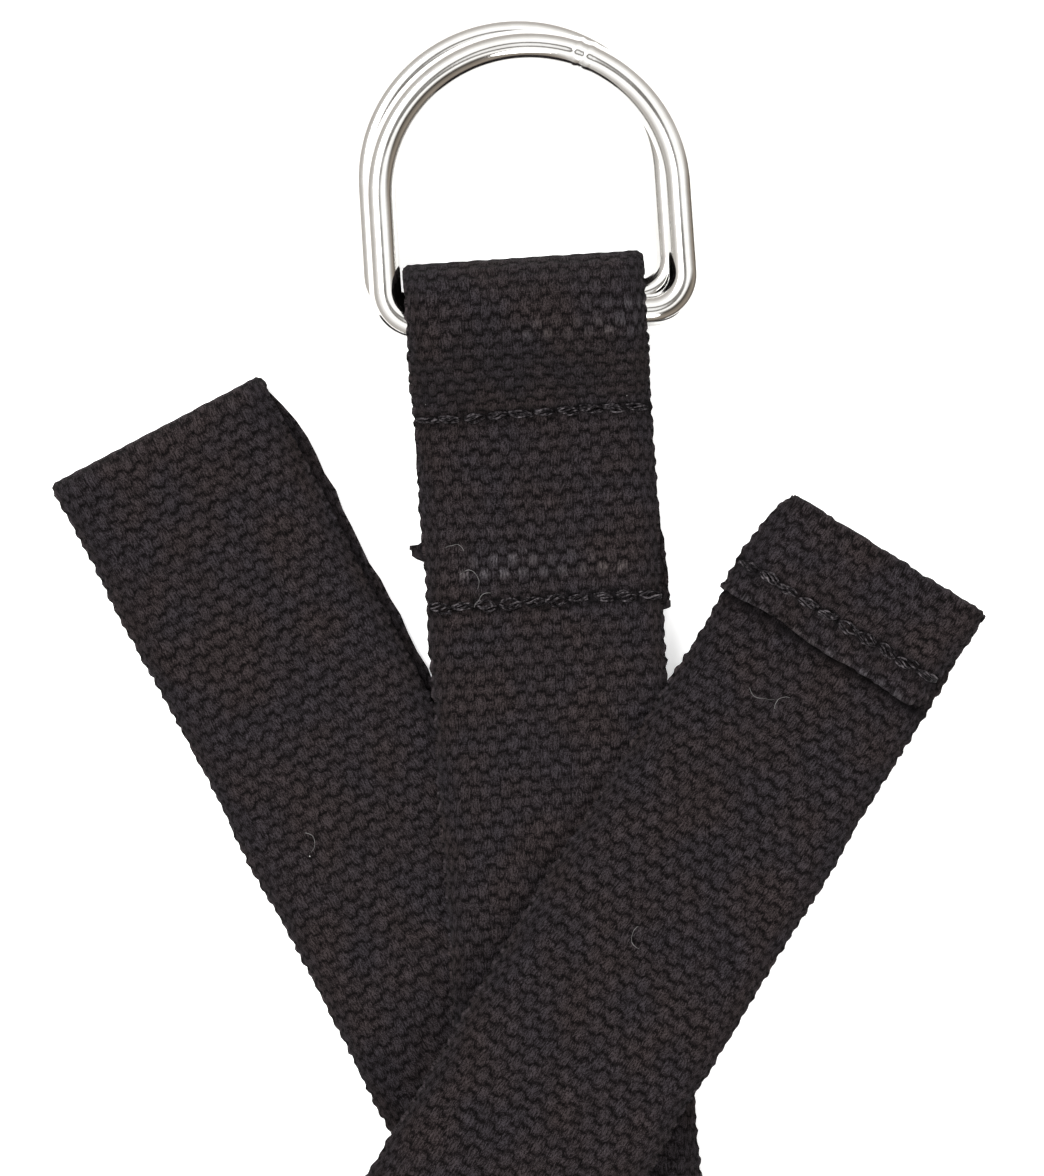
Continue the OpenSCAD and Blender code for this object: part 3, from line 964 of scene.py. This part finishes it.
def tube(path, radii, sides, closed):
    """Points, faces and a map of a round tube along a path, with a radius at each point."""
    path, radii = np.asarray(path), np.asarray(radii)
    n = len(path)
    if closed:
        tangent = np.roll(path, -1, axis=0) - np.roll(path, 1, axis=0)
    else:
        tangent = np.gradient(path, axis=0)
    tangent /= np.linalg.norm(tangent, axis=1)[:, None]
    first = np.cross(tangent[0], (0.0, 0.0, 1.0))
    if np.linalg.norm(first) < 0.1:
        first = np.cross(tangent[0], (0.0, 1.0, 0.0))
    normals = [first / np.linalg.norm(first)]
    for t in tangent[1:]:
        turned = normals[-1] - t * float(np.dot(normals[-1], t))
        normals.append(turned / np.linalg.norm(turned))
    normals = np.array(normals)
    binormals = np.cross(tangent, normals)
    angle = np.linspace(0, 2 * math.pi, sides, endpoint=False)
    ring = normals[:, None] * np.cos(angle)[None, :, None]
    ring = ring + binormals[:, None] * np.sin(angle)[None, :, None]
    points = (path[:, None] + ring * radii[:, None, None]).reshape(-1, 3)
    faces = []
    for i in range(n if closed else n - 1):
        j = (i + 1) % n
        for k in range(sides):
            m = (k + 1) % sides
            faces.append([i * sides + k, i * sides + m, j * sides + m, j * sides + k])
    if not closed:
        faces.append(list(range(sides))[::-1])
        faces.append([(n - 1) * sides + k for k in range(sides)])
    length = np.concatenate([[0], np.cumsum(np.linalg.norm(np.diff(path, axis=0), axis=1))])
    around = np.arange(sides) / sides
    flat = np.stack(np.broadcast_arrays(length[:, None], around[None, :]), axis=-1)
    return points, faces, flat.reshape(-1, 2)


# ------------
# Stitching: thick doubled thread, one twisted tuft of strands for each stitch

STRANDS = 6
STRAND_TWIST = 2.6
STRAND_REACH = 0.7 * MM
STRAND_POINTS, STRAND_SIDES = 12, 8
# How deep the ends of a stitch sit in the webbing, and the length of one turn of ply
STITCH_DEPTH = 0.5 * MM
PLY_LENGTH = 0.35 * MM


def stitch_row(name, node, faces_of_row, seed):
    """A row of stitches. faces_of_row gives the arc length and the side of each face of
    the webbing that the row shows on."""
    rng = np.random.default_rng(seed)
    points, faces, flats = [], [], []
    count = 0
    for row_v, side in faces_of_row:
        wander = rng.normal(0, 0.12, STITCH_COUNT + 1) * MM
        for s in range(STITCH_COUNT):
            x0 = (s - STITCH_COUNT / 2) * STITCH_PITCH
            x1 = x0 + STITCH_PITCH
            turn = rng.uniform(0, 2 * math.pi)
            inset = rng.uniform(-0.1, 0.4, 2) * MM
            loose = rng.uniform(0.75, 1.35)
            slant = rng.normal(0.45, 0.3) * MM
            for k in range(STRANDS):
                t = np.linspace(0, 1, STRAND_POINTS)
                hump = np.sin(math.pi * t)
                angle = turn + 2 * math.pi * k / STRANDS + STRAND_TWIST * t
                angle = angle + rng.normal(0, 0.25)
                reach = STRAND_REACH * loose * (0.4 + 0.6 * hump) * rng.uniform(0.8, 1.2)
                x = (x0 + inset[0]) * (1 - t) + (x1 - inset[1]) * t
                v = row_v + reach * np.cos(angle) + wander[s] * (1 - t) + wander[s + 1] * t
                v = v + slant * (t - 0.5)
                rise = STITCH_DEPTH * hump**0.6 + 0.55 * reach * np.sin(angle)
                h = side * (HALF_T - STITCH_DEPTH + rise)
                path = place(np.clip(x, -HALF_W + 0.3 * MM, HALF_W - 0.3 * MM), v, h)
                radius = rng.uniform(0.12, 0.2) * MM
                taper = 0.75 + 0.25 * hump
                made, quads, flat = tube(path, radius * taper, STRAND_SIDES, False)
                # Each strand gets its own part of the thread's pattern of ply and painted glints
                flat = flat * np.array([1 / PLY_LENGTH, 1.0]) + rng.uniform(0, 40, 2)
                points.append(made)
                faces += [[count + i for i in quad] for quad in quads]
                flats.append(flat)
                count += len(made)
    obj = new_object(name, np.concatenate(points), faces)
    add_map(obj, "Thread", np.concatenate(flats))
    turn_outward(obj)
    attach(obj, "strap")
    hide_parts(node)
    return obj


# ------------
# Lint: a few pale cotton fibres caught on the webbing, as arcs in plan

# Middle of each fibre's arc in plan, its radius in millimetres, and its start and end
# angle in degrees
LINT = [
    ((-19.0, 103.6), 2.4, -20, 120),
    ((-15.4, 100.4), 1.9, 80, 190),
    ((-20.9, 108.6), 1.5, 10, 150),
    ((28.2, 88.2), 3.0, 200, 300),
    ((31.6, 84.6), 1.6, 60, 200),
    ((-45.2, 62.4), 2.1, -40, 70),
    ((9.0, 48.5), 1.8, 120, 250),
]
LINT_R = 0.036 * MM
LINT_POINTS, LINT_SIDES = 14, 5


def build_lint():
    points, faces = [], []
    count = 0
    for k, (middle, radius, start, end) in enumerate(LINT):
        t = np.linspace(0, 1, LINT_POINTS)
        angle = np.radians(start + (end - start) * t)
        reach = radius * (1 + 0.25 * soft_noise(t * 3 + k, t * 0 + k))
        arc = np.column_stack([reach * np.cos(angle), reach * np.sin(angle)])
        plan = (np.array(middle) + arc) * MM
        tail = inside_strip(plan, exit_point, TAIL_DIR, 0, TAIL_LENGTH)
        left = inside_strip(plan, np.zeros(2), LEFT_DIR, 0, LEFT_LENGTH)
        z = np.where(left, 2 * LAYER + left_lift(plan), CENTRE_Z + WEB_T)
        z = np.where(tail, tail_height(plan) + WEB_T, z) - 0.02 * MM
        z = z + 0.35 * MM * np.sin(math.pi * t) ** 2
        radii = np.full(LINT_POINTS, LINT_R)
        made, quads, _ = tube(np.column_stack([plan, z]), radii, LINT_SIDES, False)
        points.append(made)
        faces += [[count + i for i in quad] for quad in quads]
        count += len(made)
    obj = new_object("lint", np.concatenate(points), faces)
    turn_outward(obj)
    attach(obj, "strap")
    return obj


def lint_material():
    m = Nodes("pale_lint")
    place_at = m.add("ShaderNodeTexCoord").outputs["Object"]
    tone = m.noise(place_at, 900.0, 2.0, 0.6)
    shades = [(0.35, (0.06, 0.057, 0.057)), (0.65, (0.24, 0.235, 0.235))]
    m.to_shader("Base Color", m.ramp(tone, shades))
    m.finish(Roughness=0.9)
    return m.material


# ------------
# D-rings: bent wire, butt welded, with a straight bar that the loop holds

WIRE_R = 2.5 * MM
RING_HALF_W = 23.5 * MM
RING_H = 43.4 * MM
RING_CORNER_R = 5.6 * MM
RING_SIDES = 40
# At rest the lower ring's bow lies on the surface and its bar is up in the loop, and
# the upper ring lies above it with the same tilt
RING_TILT = math.asin((joints["lower_ring_swing"]["pos_m"][2] - WIRE_R) / RING_H)


def ring_path():
    """The wire's middle line, with the bar along X and the bow towards +Y."""
    bar, bow_y = RING_HALF_W - RING_CORNER_R, RING_H - RING_HALF_W
    steps = []
    for a in np.linspace(-math.pi / 2, 0, 22)[1:]:
        steps.append((bar + RING_CORNER_R * math.cos(a), RING_CORNER_R * (1 + math.sin(a))))
    for y in np.linspace(RING_CORNER_R, bow_y, 14)[1:]:
        steps.append((RING_HALF_W, y))
    for a in np.linspace(0, math.pi / 2, 60)[1:]:
        steps.append((RING_HALF_W * math.cos(a), bow_y + RING_HALF_W * math.sin(a)))
    half = np.array(steps)
    other = (half * (-1, 1))[::-1][1:]
    base = np.column_stack([np.linspace(-bar, bar, 40), np.zeros(40)])
    return np.concatenate([base, half, other[:-1]])


def build_ring(body, weld_angle, weld_size):
    """A ring with its weld at an angle from the top of the bow."""
    joint = joints[body + "_swing"]
    centre = np.array(joint["pos_m"])
    right = np.append(CENTRE_RIGHT, 0)
    forward = np.append(CENTRE_DIR * math.cos(RING_TILT), -math.sin(RING_TILT))
    flat = ring_path()
    path = centre + flat[:, :1] * right + flat[:, 1:] * forward
    weld = RING_HALF_W * np.array([math.sin(weld_angle), math.cos(weld_angle)])
    away = np.linalg.norm(flat - (weld + (0, RING_H - RING_HALF_W)), axis=1)
    swelling = weld_size * bump_at(away, 0.8 * MM, 0.55 * MM)
    groove = weld_size * bump_at(away, 0, 0.4 * MM)
    points, faces, _ = tube(path, WIRE_R * (1 + swelling - groove), RING_SIDES, True)
    obj = new_object(body + "_wire", points, faces)
    turn_outward(obj)
    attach(obj, body)
    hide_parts(body)
    return obj


# ------------
# Build the object

webbing = build_webbing()
turn_outward(webbing)
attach(webbing, "strap")
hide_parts(*[n for n in sorted(frame["nodes"]) if n.startswith("webbing")])
webbing.data.materials.append(webbing_material())

# For each row, the arc lengths at which it shows, with the face that it shows on
STITCH_ROWS = {
    "loop": [(upper_v(LOOP_ROW_U), 1), (lower_v(LOOP_ROW_U), 1)],
    "flap": [(upper_v(FLAP_ROW_U), 1), (TURNED_ROW_V, -1)],
    "hem": [(HEM_ROW_FLAP_V, -1), (HEM_ROW_TAIL_V, -1)],
}
thread = thread_material()
rows = []
for k, (name, shown) in enumerate(STITCH_ROWS.items()):
    rows.append(stitch_row(name + "_stitches", name + "_stitch_row", shown, SEED + k))
    rows[-1].data.materials.append(thread)

chrome = chrome_material()
# Each ring's weld: its angle from the top of the bow, and its size as a share of the wire
WELDS = {"upper_ring": (25, 0.07), "lower_ring": (-150, 0.05)}
for body, (weld_angle, weld_size) in WELDS.items():
    ring = build_ring(body, math.radians(weld_angle), weld_size)
    ring.data.materials.append(chrome)

lint = build_lint()
lint.data.materials.append(lint_material())

# ------------
# Floor, light and camera

FLOOR_HALF = 3.0
LIGHT_AIM = (0, 0.1, 0)
corners = [(-1, -1, 0), (1, -1, 0), (1, 1, 0), (-1, 1, 0)]
floor = new_object("floor", FLOOR_HALF * np.array(corners), [[0, 1, 2, 3]], False)
pale = Nodes("pale_floor")
pale.finish(Base_Color=(0.95, 0.95, 0.95, 1), Roughness=0.9, Specular_IOR_Level=0.0)
pale.finish(Emission_Color=(1, 1, 1, 1), Emission_Strength=0.45)
floor.data.materials.append(pale.material)


def soft_light(name, place_at, spread, strength):
    """A broad far light, aimed at the object: spread is how wide it looks from there."""
    data = bpy.data.lights.new(name, "SUN")
    data.angle = math.radians(spread)
    data.energy = strength
    obj = bpy.data.objects.new(name, data)
    bpy.context.scene.collection.objects.link(obj)
    obj.location = place_at
    way = np.array(LIGHT_AIM) - np.array(place_at)
    tilt = math.atan2(math.hypot(way[0], way[1]), -way[2])
    obj.rotation_euler = (tilt, 0, math.atan2(way[1], way[0]) - math.pi / 2)


soft_light("key", (-0.42, 0.46, 0.75), 32, 2.0)
soft_light("front", (0.05, -0.75, 0.8), 24, 1.3)


def warm_stops(stops):
    """Ramp stops from (place, level, warmth): a warm grey is redder and less blue."""
    return [(at, (k * (1 + warm), k, k * (1 - warm))) for at, k, warm in stops]


world = bpy.data.worlds.new("studio")
bpy.context.scene.world = world
world.use_nodes = True
tree = world.node_tree
background = tree.nodes["Background"]

# A white tent that is open on one side, where the dark studio shows low down, and
# with a small gap overhead for the camera. Ramps run from the horizon to overhead.
TENT = [
    (0.0, 0.42, 0.06), (0.4, 0.5, 0.04), (0.62, 0.85, 0.015), (0.8, 1.2, 0),
    (0.945, 1.1, 0), (0.957, 0.12, 0.08), (0.984, 0.25, 0.04), (0.992, 1.0, 0),
]
STUDIO = [
    (0.0, 0.3, 0.08), (0.06, 0.06, 0.16), (0.35, 0.26, 0.16), (0.6, 0.16, 0.16),
    (0.76, 0.03, 0.14), (0.84, 0.4, 0.06), (0.88, 1.1, 0),
]
OPENING = [(0.25, 0.0, 0), (0.5, 1.0, 0)]
OPENING_WAY = (0.74, -0.67, 0)
SKY_STRENGTH = 1.65

direction = tree.nodes.new("ShaderNodeTexCoord").outputs["Generated"]
height = add_node(tree, "ShaderNodeSeparateXYZ", {0: direction}).outputs[2]
inputs = {0: direction, 1: OPENING_WAY}
toward = add_node(tree, "ShaderNodeVectorMath", inputs, operation="DOT_PRODUCT")
tent = add_ramp(tree, height, warm_stops(TENT))
studio = add_ramp(tree, height, warm_stops(STUDIO))
opening = add_ramp(tree, toward.outputs["Value"], warm_stops(OPENING))
sky = add_node(tree, "ShaderNodeMix", {0: opening, 6: tent, 7: studio}, data_type="RGBA")
tree.links.new(sky.outputs[2], background.inputs[0])
background.inputs[1].default_value = SKY_STRENGTH

# The camera looks straight down, as in the photograph: how much it sees from top to
# bottom, and the middle of that
VIEW_HEIGHT = 0.1862
VIEW_X, VIEW_Y = -0.01013, 0.10307
FOCUS_Z = 6 * MM
LENS, SENSOR = 100, 36
camera_data = bpy.data.cameras.new("camera")
camera_data.lens = LENS
camera_data.sensor_width = SENSOR
camera_data.clip_start = 0.01
camera = bpy.data.objects.new("camera", camera_data)
bpy.context.scene.collection.objects.link(camera)
camera.location = (VIEW_X, VIEW_Y, FOCUS_Z + VIEW_HEIGHT * LENS / SENSOR)
camera.rotation_euler = (0, 0, 0)
bpy.context.scene.camera = camera
bpy.context.scene.view_settings.view_transform = "Standard"
bpy.context.scene.view_settings.look = "None"
